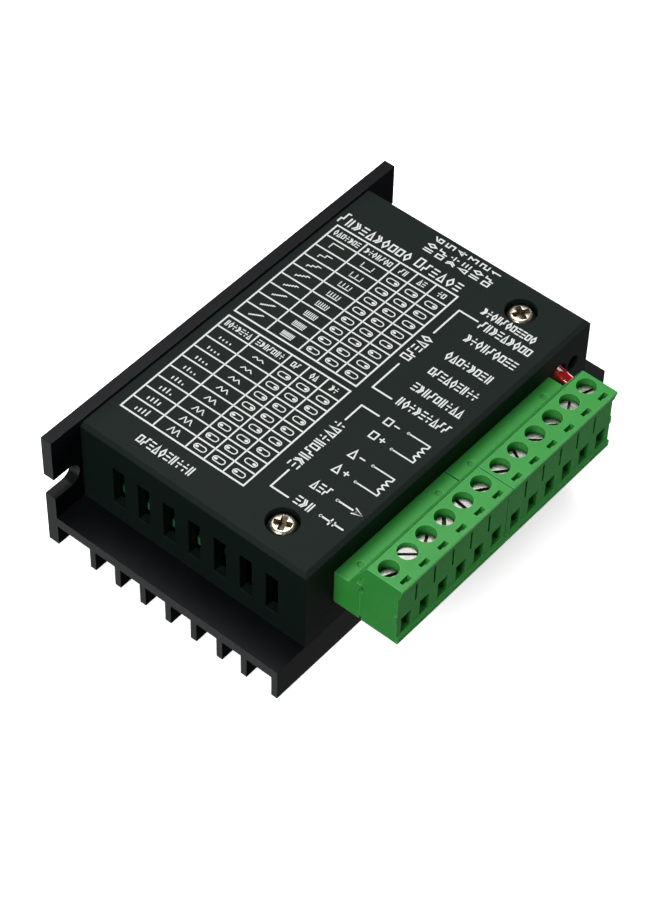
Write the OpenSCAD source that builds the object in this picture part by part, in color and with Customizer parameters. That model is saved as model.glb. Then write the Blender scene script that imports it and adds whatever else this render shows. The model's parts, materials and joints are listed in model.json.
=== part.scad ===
// Stepper driver module: finned heatsink with a mounting wall, plastic cover, circuit board
// and two pluggable 6-pole terminal blocks. Millimetres. +X runs along the module, -Y is the
// terminal side, +Y the mounting wall, +Z up. The origin is under the middle of the whole
// module, plugs included, at the height of the fin tips.

/* [Heatsink] */
// Length of the heatsink along X
base_l = 96; // [94:1:110]
// Depth of the heatsink along Y, wall included
base_d = 56; // [55:1:62]
// Height of the plate's top face above the fin tips
plate_z = 7.5; // [6:0.1:10]
// Thickness of the plate
plate_t = 2.4; // [2:0.1:3]
// Height of the mounting wall above the fin tips
wall_h = 28; // [27:0.5:36]
// Thickness of the mounting wall
wall_t = 2.5; // [2:0.1:2.8]
// Thickness of one fin
fin_t = 1.4; // [1:0.1:2]
// Distance between the inner fins
fin_pitch = 6.2; // [5:0.1:6.5]
// Distance between the two wall slots, centre to centre
slot_spacing = 88; // [86:0.5:89]
// Width of each wall slot
slot_w = 5.2; // [4:0.1:6]
// Height of the wall slots' centre line
slot_z = 15.4; // [12:0.1:20]

/* [Cover] */
// Bare heatsink left at each end of the cover
cover_inset = 7.4; // [7:0.1:8]
// Height of the cover above the plate
cover_h = 19.9; // [19.7:0.1:21]
// Thickness of the cover
cover_t = 2; // [1.6:0.1:2.2]
// Chamfer along the cover's top edges
cover_chamfer = 0.8; // [0.5:0.1:1.5]
// Number of cooling slots in the end of the cover
vent_count = 7; // [5:1:7]
// Distance between the cooling slots
vent_pitch = 6.1; // [5:0.1:6.2]
// Width of one cooling slot
vent_w = 2.8; // [2:0.1:3.2]
// Height of one cooling slot
vent_h = 9.5; // [6:0.5:11]
// Distance of the cover screws from the middle of the module
cover_screw_x = 33.8; // [33.5:0.1:34]

/* [Terminals] */
// Distance between the poles
pole_pitch = 5.08; // [5:0.01:5.08]
// Middle of the terminal row along X
row_x = -2.2; // [-2.4:0.1:-2]
// Depth of the header
header_d = 12; // [11.8:0.1:12.2]
// How far the header stands out of the heatsink's front edge
header_reach = 5.8; // [5.7:0.1:6]
// How far the plug's front stands out of the heatsink's front edge
plug_reach = 15; // [14.9:0.1:15.2]
// Height of the header
header_h = 8.1; // [8:0.1:8.3]
// Height of the plug
plug_h = 14.9; // [14.8:0.1:15.2]

/* [Hidden] */
$fn = 48;
eps = 0.01;

// Faces of the heatsink
front_y = (plug_reach - base_d) / 2;
back_y = front_y + base_d;
wall_y = back_y - wall_t;
plate_bottom = plate_z - plate_t;
edge_fin_step = 7.2;
inner_fins = 6;

// Cover
cover_x = base_l / 2 - cover_inset;
cover_top = plate_z + cover_h;
cover_under = cover_top - cover_t;
cover_inner_x = cover_x - cover_t;
cover_inner_y = front_y + cover_t;
vent_z = plate_z + 4.1;
vent_y0 = wall_y - 9.1;

// Board and what holds it
pad_t = 0.2;
chip_t = 4.2;
board_bottom = plate_z + pad_t + chip_t;
board_t = 1.6;
board_top = board_bottom + board_t;
board_x = 38;
board_front = front_y + 2.4;
board_back = wall_y - 1.5;
screw_y = front_y + 11.2;
rear_screw_y = wall_y - 4.8;
thread_r = 1.45;
tapped_r = 1.5;
clear_r = 1.7;
post_r = 4;
lead_t = 0.5;
solder_l = 1.2;
counterbore_r = 3.2;
head_seat = cover_top - 2.3;

// Terminals
poles = 6;
block_l = poles * pole_pitch;
block_gap = 0.38;
header_front = front_y - header_reach;
header_back = header_front + header_d;
header_z = board_top;
header_top = header_z + header_h;
header_wall = 0.9;
header_back_wall = 2.5;
cavity_z = header_z + header_wall;
cavity_top = header_top - 0.7;
plug_front = front_y - plug_reach;
plug_back = header_front - 0.1;
plug_top = header_z + plug_h;
plug_over = 0.08;
wedge_back = header_front + 2.5;
ridge_y = header_front - 1.1;
tongue_l = 8;
tongue_gap = 0.15;
pin_z = header_z + 4.1;
pin_t = 1;

// Screw clamp inside one pole
clamp_y = plug_front + 5.2;
clamp_w = 3.6;
clamp_d = 4.6;
clamp_h = 7;
clamp_wall = 0.5;
clamp_floor = 0.8;
clamp_top = 2;
cell_gap = 0.12;
cell_z = header_z + 1.2;
clamp_z = cell_z + 0.1;
ledge_top = plug_top - 3.4;
ledge_t = 0.6;
socket_w = 2.6;
panel_inset = 0.85;
band_h = 2.3;
lip_h = 1.4;
screw_hole_r = 1.95;
screw_head_r = 1.8;
screw_head_h = 1.3;
screw_r = 1.4;
screw_bore_r = 1.45;
slot_angles = [-26, -49, 28, 40, 82, -35, -40, 60, -50, -45, 30, -20];
// How far each screw's head stands below the plug's top: some are a little looser than others
head_drops = [2.1, 0.9, 2, 1.8, 1.5, 1.8, 1.6, 1.9, 1.8, 2.1, 1.5, 1.7];
bar_z = header_z + 5.3;
bar_t = 0.8;
bar_w = 2.3;
entry_w = 2.8;
entry_h = 4.1;
entry_z = header_z + 1.7;
undercut_w = 4;
undercut_h = 0.5;

// Front lights
led_r = 1.5;
alarm_led_x = 31.6;
alarm_led_z = plate_z + 12.6;
alarm_hole_r = 2.1;
alarm_droop = 14;
power_led_x = 36;
power_led_z = plate_z + 12;
power_hole_r = 1.6;
led_lead_gap = 0.9;
led_lead_y = front_y + 6.8;

// Setting switch
ways = 6;
way_pitch = 2.54;
dip_y = front_y + 27.5;
dip_l = ways * way_pitch + 1.2;
dip_h = 9;
dip_face = cover_x - 1.2;
dip_d = 6.6;
slider_w = 1.2;
slider_h = 1.3;
slider_travel = 1.8;
slider_z = board_top + 2.6;
dip_contact_x = [dip_face - 5.4, dip_face - 2.86];

function half_x(half) = half == 0 ? row_x - block_gap / 2 - block_l : row_x + block_gap / 2;
function pole_x(pole) = half_x(floor(pole / poles)) + pole_pitch * (pole % poles + 0.5);
function fin_y(fin) =
    fin == 0 ? back_y - wall_t :
    fin <= inner_fins ? back_y - 10.6 - (fin - 1) * fin_pitch :
    front_y + (inner_fins + 2 - fin) * edge_fin_step + fin_t;
function way_y(way) = dip_y + way_pitch * (way - (ways - 1) / 2);

// A block given by its low corner and its high corner
module block(low, high) {
    translate(low) cube(high - low);
}

// A round bar along Z between two heights
module rod(x, y, low, high, r) {
    translate([x, y, low]) cylinder(h = high - low, r = r);
}

// ---- Heatsink ----

// Cross-section in the Y-Z plane: plate, wall and fins
module heatsink_profile() {
    translate([front_y, plate_bottom]) square([base_d, plate_t]);
    translate([wall_y, 0]) square([wall_t, wall_h]);
    for (fin = [1 : inner_fins + 2])
        translate([fin_y(fin) - fin_t, 0]) square([fin_t, plate_z]);
}

module wall_slot(side) {
    translate([side * slot_spacing / 2, wall_y - 1, slot_z]) rotate([-90, 0, 0])
        cylinder(h = wall_t + 2, r = slot_w / 2);
    translate([side * slot_spacing / 2 + (side > 0 ? 0 : -base_l / 2), wall_y - 1, slot_z - slot_w / 2])
        cube([base_l / 2, wall_t + 2, slot_w]);
}

module heatsink() {
    color("#17181a") difference() {
        translate([-base_l / 2, 0, 0]) rotate([90, 0, 90]) linear_extrude(base_l) heatsink_profile();
        for (side = [-1, 1]) {
            wall_slot(side);
            for (y = [screw_y, rear_screw_y])
                rod(side * cover_screw_x, y, plate_bottom - 1, plate_z + 1, tapped_r);
        }
    }
}

// ---- Cover ----

// Outer shape: a block with chamfered top edges at the front and at both ends
module cover_outer() {
    intersection() {
        translate([-cover_x, 0, 0]) rotate([90, 0, 90]) linear_extrude(2 * cover_x) polygon([
            [front_y, plate_z], [wall_y, plate_z], [wall_y, cover_top],
            [front_y + cover_chamfer, cover_top], [front_y, cover_top - cover_chamfer]]);
        translate([0, wall_y, 0]) rotate([90, 0, 0]) linear_extrude(wall_y - front_y) polygon([
            [-cover_x, plate_z], [cover_x, plate_z], [cover_x, cover_top - cover_chamfer],
            [cover_x - cover_chamfer, cover_top], [cover_chamfer - cover_x, cover_top],
            [-cover_x, cover_top - cover_chamfer]]);
    }
}

module vent(side, index) {
    y = vent_y0 - index * vent_pitch;
    block([side * cover_x - 1.5 * cover_t, y - vent_w / 2, vent_z],
          [side * cover_x + 1.5 * cover_t, y + vent_w / 2, vent_z + vent_h]);
}

module terminal_window() {
    block([half_x(0) - 0.3, front_y - 1, header_z - 0.2],
          [half_x(1) + block_l + 0.3, cover_inner_y + eps, header_top + 0.2]);
}

module dip_window() {
    block([cover_inner_x - 1, dip_y - dip_l / 2 - 0.2, board_top - 0.2],
          [cover_x + 1, dip_y + dip_l / 2 + 0.2, board_top + dip_h + 0.2]);
}

// Round hole for a lamp through the cover's front
module lamp_hole(x, z, r) {
    translate([x, front_y - 1, z]) rotate([-90, 0, 0]) cylinder(h = cover_t + 2, r = r);
}

module cover() {
    // The slots beside the setting switch's window
    far_vents = [0, 1, vent_count - 2, vent_count - 1];
    color("#30352f") difference() {
        union() {
            difference() {
                cover_outer();
                block([-cover_inner_x, cover_inner_y, plate_z - 1],
                      [cover_inner_x, wall_y + 1, cover_under]);
            }
            for (side = [-1, 1])
                rod(side * cover_screw_x, screw_y, board_top, cover_under + eps, post_r);
        }
        for (side = [-1, 1]) {
            rod(side * cover_screw_x, screw_y, board_top - 1, cover_top + 1, clear_r);
            rod(side * cover_screw_x, screw_y, head_seat, cover_top + 1, counterbore_r);
        }
        for (index = [0 : vent_count - 1]) vent(-1, index);
        for (index = far_vents) vent(1, index);
        terminal_window();
        dip_window();
        lamp_hole(alarm_led_x, alarm_led_z, alarm_hole_r);
        lamp_hole(power_led_x, power_led_z, power_hole_r);
    }
}

// Screw with a domed head on a seat and a cross recess
module pan_screw(x, y, seat, length) {
    head_r = 2.7;
    head_h = 1.9;
    recess_w = 0.7;
    difference() {
        union() {
            rod(x, y, seat - length, seat + eps, thread_r);
            translate([x, y, seat]) intersection() {
                cylinder(h = head_h, r = head_r);
                translate([0, 0, head_h - 4.5]) sphere(r = 4.5);
            }
        }
        for (turn = [0, 90])
            translate([x, y, seat + head_h - 1.1]) rotate([0, 0, turn])
                translate([-1.5, -recess_w / 2, 0]) cube([3, recess_w, 2]);
    }
}

module cover_screws() {
    color("silver") for (side = [-1, 1])
        pan_screw(side * cover_screw_x, screw_y, head_seat, 20);
}

// ---- Board and its parts ----

// Plated hole for a square lead
module board_hole(x, y, lead) {
    rod(x, y, board_bottom - 1, board_top + 1, 0.75 * lead);
}

module circuit_board() {
    color("#1d5a34") difference() {
        block([-board_x, board_front, board_bottom], [board_x, board_back, board_top]);
        for (side = [-1, 1], y = [screw_y, rear_screw_y])
            rod(side * cover_screw_x, y, board_bottom - 1, board_top + 1, clear_r);
        for (pole = [0 : 2 * poles - 1])
            board_hole(pole_x(pole), header_back + 0.2 + pin_t / 2, pin_t);
        for (way = [0 : ways - 1], x = dip_contact_x) board_hole(x, way_y(way), lead_t);
        for (x = [alarm_led_x, power_led_x], side = [-led_lead_gap, led_lead_gap])
            board_hole(x + side, led_lead_y - lead_t / 2, lead_t);
    }
}

module board_spacers() {
    color("goldenrod") for (side = [-1, 1], y = [screw_y, rear_screw_y]) difference() {
        rod(side * cover_screw_x, y, plate_z, board_bottom, 3);
        rod(side * cover_screw_x, y, plate_z - 1, board_bottom + 1, clear_r);
    }
}

module board_screws() {
    color("silver") for (side = [-1, 1])
        pan_screw(side * cover_screw_x, rear_screw_y, board_top, 8);
}

module thermal_pad() {
    color("gainsboro") block([-15.5, front_y + 27, plate_z], [15.5, front_y + 42.5, plate_z + pad_t]);
}

// Flat power package with two staggered rows of leads bent up into the board
module driver_chip() {
    lead_count = 25;
    lead_pitch = 1.1;
    lead_w = 0.5;
    low = plate_z + pad_t;
    color("#202020") block([-15.5, front_y + 27, low], [15.5, front_y + 42.5, board_bottom]);
    color("silver") for (lead = [0 : lead_count - 1]) {
        x = lead_pitch * (lead - (lead_count - 1) / 2) - lead_w / 2;
        y = front_y + 25.6 - (lead % 2) * 1.6;
        block([x, y, low + 1.8], [x + lead_w, front_y + 27 + eps, low + 2.3]);
        block([x, y, low + 1.8], [x + lead_w, y + lead_w, board_bottom]);
    }
}

module bulk_capacitors() {
    for (y = [front_y + 22, front_y + 34]) {
        color("#2b2f55") rod(-25, y, board_top, board_top + 10.2, 5);
        color("silver") rod(-25, y, board_top + 10.2 - eps, board_top + 10.5, 4.4);
    }
}

module ceramic_capacitors() {
    color("tan") for (x = [-14 : 7 : 14], y = [front_y + 20, front_y + 46])
        block([x, y, board_top], [x + 2, y + 1.25, board_top + 1.2]);
}

module optocouplers() {
    leads = 4;
    color("#252525") for (x = [2, 12, 22]) {
        block([x - 4.4, front_y + 12, board_top + 0.4], [x + 4.4, front_y + 18, board_top + 3.6]);
        for (lead = [0 : leads - 1], end = [-1, 1])
            translate([x + 2.54 * (lead - 1.5) - 0.3, front_y + 15 + end * 3.5 - 0.6, board_top])
                cube([0.6, 1.2, 0.8]);
    }
}

module voltage_regulator() {
    color("#252525") block([-36, front_y + 34, board_top], [-31, front_y + 40, board_top + 2.3]);
    color("silver") block([-35.5, front_y + 39.9, board_top], [-31.5, front_y + 42, board_top + 0.5]);
}

module logic_chip() {
    leads = 7;
    color("#252525") block([16, front_y + 26, board_top + 0.2], [24.7, front_y + 30, board_top + 1.7]);
    color("silver") for (lead = [0 : leads - 1])
        translate([16.34 + 1.27 * lead, front_y + 25, board_top]) cube([0.4, 6, 0.4]);
}

module protection_diodes() {
    color("#252525") for (x = [-28 : 6.5 : -8])
        block([x, front_y + 12.5, board_top], [x + 2.6, front_y + 16.8, board_top + 2.3]);
}

module sense_resistors() {
    color("#1d1d1d") for (x = [-6.5, 6.5])
        block([x - 3.2, front_y + 36, board_top], [x + 3.2, front_y + 39.2, board_top + 0.6]);
}

module chip_resistors() {
    color("#1d1d1d") for (x = [14 : 4 : 26], y = [front_y + 34, front_y + 38])
        block([x, y, board_top], [x + 2, y + 1.25, board_top + 0.5]);
}

// ---- Board headers ----

// Six-pole header, open at the front for the plug's tongue
module header(half) {
    x = half_x(half);
    color("#3f9d47") difference() {
        block([x, header_front, header_z], [x + block_l, header_back, header_top]);
        block([x + header_wall, header_front - 1, cavity_z],
              [x + block_l - header_wall, header_back - header_back_wall, cavity_top]);
        for (pole = [0 : poles - 1])
            translate([x + pole_pitch * (pole + 0.5), header_back, pin_z])
                cube([pin_t, 2 * header_back_wall + 1, pin_t], center = true);
        // Shallow round marks near both ends, just behind the plug's slope
        for (at = [4.4, block_l - 4.4])
            rod(x + at, wedge_back + 1, header_top - 0.35, header_top + 1, 0.8);
    }
}

// Bent pins: forward into the plug, down through the board behind the header
module header_pins(half) {
    drop_y = header_back + 0.2;
    color("silver") for (pole = [0 : poles - 1]) {
        x = half_x(half) + pole_pitch * (pole + 0.5) - pin_t / 2;
        block([x, header_front + 2, pin_z - pin_t / 2], [x + pin_t, drop_y + pin_t, pin_z + pin_t / 2]);
        block([x, drop_y, board_bottom - solder_l], [x + pin_t, drop_y + pin_t, pin_z + pin_t / 2]);
    }
}

// ---- Plugs ----

// Cavity of one pole: screw hole, ledge, clamp cell, wire entry, contact channel
module pole_cavity(x) {
    cell_w = clamp_w / 2 + cell_gap;
    cell_d = clamp_d / 2 + cell_gap;
    rod(x, clamp_y, ledge_top, plug_top + 1, screw_hole_r);
    rod(x, clamp_y, ledge_top - ledge_t - 1, ledge_top + 1, screw_r + 0.15);
    block([x - cell_w, clamp_y - cell_d, cell_z], [x + cell_w, clamp_y + cell_d, ledge_top - ledge_t]);
    // Wire entry, square and straight
    block([x - entry_w / 2, plug_front - 1, entry_z], [x + entry_w / 2, clamp_y, entry_z + entry_h]);
    // Pocket for the contact bar's front end, and the channel to the socket
    block([x - bar_w / 2, clamp_y - cell_d - 0.6, bar_z], [x + bar_w / 2, clamp_y, bar_z + bar_t]);
    block([x - socket_w / 2, clamp_y, pin_z - socket_w / 2],
          [x + socket_w / 2, plug_back + tongue_l + 1, bar_z + bar_t]);
    // Test slot beside the screw, wider at one end
    block([x - 1.25, plug_front + 1.05, plug_top - 1.2], [x + 1.05, plug_front + 1.9, plug_top + 1]);
    block([x - 0.4, plug_front + 0.8, plug_top - 1.2], [x + 1.05, plug_front + 1.1, plug_top + 1]);
    // Dark line under the band
    block([x - undercut_w / 2, plug_front - 1, plug_top - band_h - undercut_h],
          [x + undercut_w / 2, plug_front + panel_inset + 0.7, plug_top - band_h]);
}

// Side view of the plug: a slope behind that lies over the header, a thin groove along its ridge,
// a band along the top of the front that leans inwards, recessed panels, a grooved lip below them
// and a notch along the bottom
module plug_profile() {
    panel_y = plug_front + panel_inset;
    lip_y = plug_front + 0.45;
    groove_z = header_z + 0.5;
    over_header = header_top + 0.1;
    notch_d = 0.4;
    notch_z = header_z + 1;
    line_w = 0.2;
    line_d = 0.3;
    polygon([
        [lip_y, header_z], [plug_back - notch_d, header_z], [plug_back - notch_d, notch_z],
        [plug_back, notch_z], [plug_back, over_header],
        [wedge_back, over_header], [wedge_back, over_header + 0.2], [ridge_y, plug_top],
        [ridge_y, plug_top - line_d], [ridge_y - line_w, plug_top - line_d],
        [ridge_y - line_w, plug_top], [plug_front + 0.25, plug_top], [plug_front, plug_top - 0.25],
        [plug_front + 0.5, plug_top - band_h], [panel_y, plug_top - band_h],
        [panel_y, header_z + lip_h], [lip_y, header_z + lip_h - 0.1], [lip_y, groove_z + 0.3],
        [panel_y - 0.05, groove_z + 0.3], [panel_y - 0.05, groove_z], [lip_y, groove_z]]);
}

// Leaning slots cut in a plug's outer end beside its catch, in the Y-Z plane
module catch_slots() {
    translate([header_front, header_top]) {
        polygon([[0.3, 2.5], [-0.1, 3.6], [-0.6, 3.6], [-0.5, 2.2]]);
        polygon([[-0.15, -0.5], [-0.55, 1.2], [-0.85, 1.1], [-0.5, -0.5]]);
    }
}

// Catch that stands out of a plug's outer end over the header, in the Y-Z plane
module catch() {
    translate([header_front, header_top])
        polygon([[1.3, -0.2], [0.3, -0.4], [-0.5, 1.7], [0.55, 1.9]]);
}

module plug(half) {
    x = half_x(half);
    groove_w = 0.6;
    end_x = half == 0 ? x - plug_over : x + block_l + plug_over;
    out = half == 0 ? -1 : 1;
    catch_h = 0.35;
    slot_depth = 0.6;
    color("#46a84e") difference() {
        union() {
            translate([x - plug_over, 0, 0]) rotate([90, 0, 90])
                linear_extrude(block_l + 2 * plug_over) plug_profile();
            translate([end_x + out * catch_h / 2, 0, 0]) rotate([90, 0, 90])
                linear_extrude(catch_h + 2 * eps, center = true) catch();
            translate([end_x, plug_front + 1.1, header_z + 6.6]) cube([0.6, 0.6, 1.9], center = true);
            block([x + header_wall + tongue_gap, plug_back - eps, cavity_z + tongue_gap],
                  [x + block_l - header_wall - tongue_gap, plug_back + tongue_l, cavity_top - tongue_gap]);
        }
        for (pole = [0 : poles - 1]) pole_cavity(x + pole_pitch * (pole + 0.5));
        // Grooves between the poles' front panels
        for (pole = [1 : poles - 1])
            translate([x + pole_pitch * pole - groove_w / 2, plug_front - 1, header_z + 7.1])
                cube([groove_w, panel_inset + 1.9, plug_h - band_h - undercut_h - 7.1]);
        translate([end_x, 0, 0]) rotate([90, 0, 90])
            linear_extrude(2 * slot_depth, center = true) catch_slots();
    }
}

// Contact bars through the clamps, each with a square socket for the header pin
module plug_contacts(half) {
    socket_gap = 0.1;
    socket_front = plug_back + 0.5;
    socket_back = plug_back + tongue_l - 0.3;
    color("silver") for (pole = [0 : poles - 1]) {
        x = half_x(half) + pole_pitch * (pole + 0.5);
        block([x - bar_w / 2, clamp_y - clamp_d / 2 - 0.6, bar_z],
              [x + bar_w / 2, socket_front + 0.6, bar_z + bar_t]);
        difference() {
            block([x - socket_w / 2 + eps, socket_front, pin_z - socket_w / 2 + eps],
                  [x + socket_w / 2 - eps, socket_back, bar_z + 0.1]);
            block([x - pin_t / 2 - socket_gap, socket_front + 0.6, pin_z - pin_t / 2 - socket_gap],
                  [x + pin_t / 2 + socket_gap, socket_back + 1, pin_z + pin_t / 2 + socket_gap]);
        }
    }
}

// Slotted clamp screw of one pole, left at its own angle and height
module terminal_screw(pole) {
    x = pole_x(pole);
    head_top = plug_top - head_drops[pole];
    seat = head_top - screw_head_h;
    shank_l = ledge_top - bar_z - bar_t - 0.1;
    slot_w = 0.55;
    slot_d = 0.8;
    color("silver") difference() {
        union() {
            rod(x, clamp_y, seat, head_top, screw_head_r);
            rod(x, clamp_y, seat - shank_l, seat + eps, screw_r);
        }
        translate([x, clamp_y, head_top - slot_d]) rotate([0, 0, slot_angles[pole]])
            translate([-screw_head_r - 1, -slot_w / 2, 0]) cube([2 * screw_head_r + 2, slot_w, 2]);
    }
}

// Rising cage of one pole: a ring round the contact bar with the thread in its top
module wire_clamp(pole) {
    x = pole_x(pole);
    inner_x = clamp_w / 2 - clamp_wall;
    color("lightgrey") difference() {
        block([x - clamp_w / 2, clamp_y - clamp_d / 2, clamp_z],
              [x + clamp_w / 2, clamp_y + clamp_d / 2, clamp_z + clamp_h]);
        block([x - inner_x, clamp_y - clamp_d, clamp_z + clamp_floor],
              [x + inner_x, clamp_y + clamp_d, clamp_z + clamp_h - clamp_top]);
        rod(x, clamp_y, clamp_z + clamp_floor + 1, clamp_z + clamp_h + 1, screw_bore_r);
    }
}

// ---- Lights ----

// 3 mm lamp that points along -Y and droops a little, with its leads bent down into the board.
// flange_y and z are the middle of its flat back.
module led(x, flange_y, z, droop, shade) {
    body_l = 3.8;
    color(shade) translate([x, flange_y, z]) rotate([90 + droop, 0, 0]) {
        cylinder(h = body_l, r = led_r);
        cylinder(h = 0.8, r = led_r + 0.3);
        translate([0, 0, body_l]) sphere(r = led_r);
    }
    color("silver") for (side = [-led_lead_gap, led_lead_gap]) {
        lead_x = x + side - lead_t / 2;
        block([lead_x, flange_y - 0.1, z - lead_t / 2], [lead_x + lead_t, led_lead_y, z + lead_t / 2]);
        block([lead_x, led_lead_y - lead_t, board_bottom - solder_l],
              [lead_x + lead_t, led_lead_y, z + lead_t / 2]);
    }
}

module alarm_led() {
    led(alarm_led_x, front_y + 1.5, alarm_led_z + 0.15, alarm_droop, "#c4161c");
}

module power_led() {
    led(power_led_x, front_y + 6.3, power_led_z, 0, "#2f8f3f");
}

// ---- Setting switch ----

module dip_switch_body() {
    color("#b3262b") difference() {
        block([dip_face - dip_d, dip_y - dip_l / 2, board_top],
              [dip_face, dip_y + dip_l / 2, board_top + dip_h]);
        for (way = [0 : ways - 1])
            translate([dip_face - 2.2, way_y(way) - slider_w / 2 - 0.1, slider_z - 0.1])
                cube([3.2, slider_w + 0.2, slider_h + slider_travel + 0.2]);
    }
}

module dip_switch_contacts() {
    color("silver") for (way = [0 : ways - 1], x = dip_contact_x)
        block([x - lead_t / 2, way_y(way) - lead_t / 2, board_bottom - solder_l],
              [x + lead_t / 2, way_y(way) + lead_t / 2, board_top]);
}

module dip_slider(way) {
    color("white") block(
        [dip_face - 2, way_y(way) - slider_w / 2, slider_z],
        [dip_face + 0.5, way_y(way) + slider_w / 2, slider_z + slider_h]);
}

heatsink();
cover();
cover_screws();
circuit_board();
board_spacers();
board_screws();
thermal_pad();
driver_chip();
bulk_capacitors();
ceramic_capacitors();
optocouplers();
voltage_regulator();
logic_chip();
protection_diodes();
sense_resistors();
chip_resistors();
header(0);  // power_header
header(1);  // signal_header
header_pins(0);  // power_header_pins
header_pins(1);  // signal_header_pins
plug(0);  // power_plug
plug(1);  // signal_plug
plug_contacts(0);  // power_plug_contacts
plug_contacts(1);  // signal_plug_contacts
alarm_led();
power_led();
dip_switch_body();
dip_switch_contacts();
dip_slider(0);  // dip_slider_1
dip_slider(1);  // dip_slider_2
dip_slider(2);  // dip_slider_3
dip_slider(3);  // dip_slider_4
dip_slider(4);  // dip_slider_5
dip_slider(5);  // dip_slider_6
terminal_screw(0);  // terminal_screw_01
terminal_screw(1);  // terminal_screw_02
terminal_screw(2);  // terminal_screw_03
terminal_screw(3);  // terminal_screw_04
terminal_screw(4);  // terminal_screw_05
terminal_screw(5);  // terminal_screw_06
terminal_screw(6);  // terminal_screw_07
terminal_screw(7);  // terminal_screw_08
terminal_screw(8);  // terminal_screw_09
terminal_screw(9);  // terminal_screw_10
terminal_screw(10);  // terminal_screw_11
terminal_screw(11);  // terminal_screw_12
wire_clamp(0);  // wire_clamp_01
wire_clamp(1);  // wire_clamp_02
wire_clamp(2);  // wire_clamp_03
wire_clamp(3);  // wire_clamp_04
wire_clamp(4);  // wire_clamp_05
wire_clamp(5);  // wire_clamp_06
wire_clamp(6);  // wire_clamp_07
wire_clamp(7);  // wire_clamp_08
wire_clamp(8);  // wire_clamp_09
wire_clamp(9);  // wire_clamp_10
wire_clamp(10);  // wire_clamp_11
wire_clamp(11);  // wire_clamp_12
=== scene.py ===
import json
import math

import bmesh
import bpy
from mathutils import Matrix, Vector


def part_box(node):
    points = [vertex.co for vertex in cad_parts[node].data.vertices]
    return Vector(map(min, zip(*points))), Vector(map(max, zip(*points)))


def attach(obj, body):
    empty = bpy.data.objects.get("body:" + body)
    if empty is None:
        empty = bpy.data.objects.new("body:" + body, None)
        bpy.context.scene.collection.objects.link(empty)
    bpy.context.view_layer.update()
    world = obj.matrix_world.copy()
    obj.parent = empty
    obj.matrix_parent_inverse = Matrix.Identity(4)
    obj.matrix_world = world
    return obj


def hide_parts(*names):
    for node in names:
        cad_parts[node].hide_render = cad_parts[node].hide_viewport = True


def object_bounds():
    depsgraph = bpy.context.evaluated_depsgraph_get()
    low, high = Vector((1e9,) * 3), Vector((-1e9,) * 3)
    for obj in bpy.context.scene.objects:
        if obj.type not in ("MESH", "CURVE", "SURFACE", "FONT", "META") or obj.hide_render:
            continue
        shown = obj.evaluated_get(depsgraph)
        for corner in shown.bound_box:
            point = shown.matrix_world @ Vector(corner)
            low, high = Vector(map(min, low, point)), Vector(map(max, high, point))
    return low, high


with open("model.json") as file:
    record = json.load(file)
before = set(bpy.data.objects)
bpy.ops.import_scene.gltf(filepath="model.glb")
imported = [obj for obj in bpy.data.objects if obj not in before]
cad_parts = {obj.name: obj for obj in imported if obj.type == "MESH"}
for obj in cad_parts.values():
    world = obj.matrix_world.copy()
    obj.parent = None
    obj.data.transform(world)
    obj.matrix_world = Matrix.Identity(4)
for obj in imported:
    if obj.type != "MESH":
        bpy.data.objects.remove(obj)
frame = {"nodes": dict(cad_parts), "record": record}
CAD_LOW, CAD_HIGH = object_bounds()

MM = 0.001
RECORD = frame["record"]
BODY_OF = {node: body for body, nodes in RECORD["behaviour"]["bodies"].items() for node in nodes}
SLOT_OF = {entry["node"]: entry["material_slot"] for entry in RECORD["subparts"]}
POLES = 12
PLUG_POLES = POLES // 2
WAYS = 6
POLE_X = [sum(corner.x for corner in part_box(f"terminal_screw_{pole:02d}")) / 2
          for pole in range(1, POLES + 1)]
HALF_POLE = (POLE_X[1] - POLE_X[0]) / 2


# ---------------------------------------------------------------- materials

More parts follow.
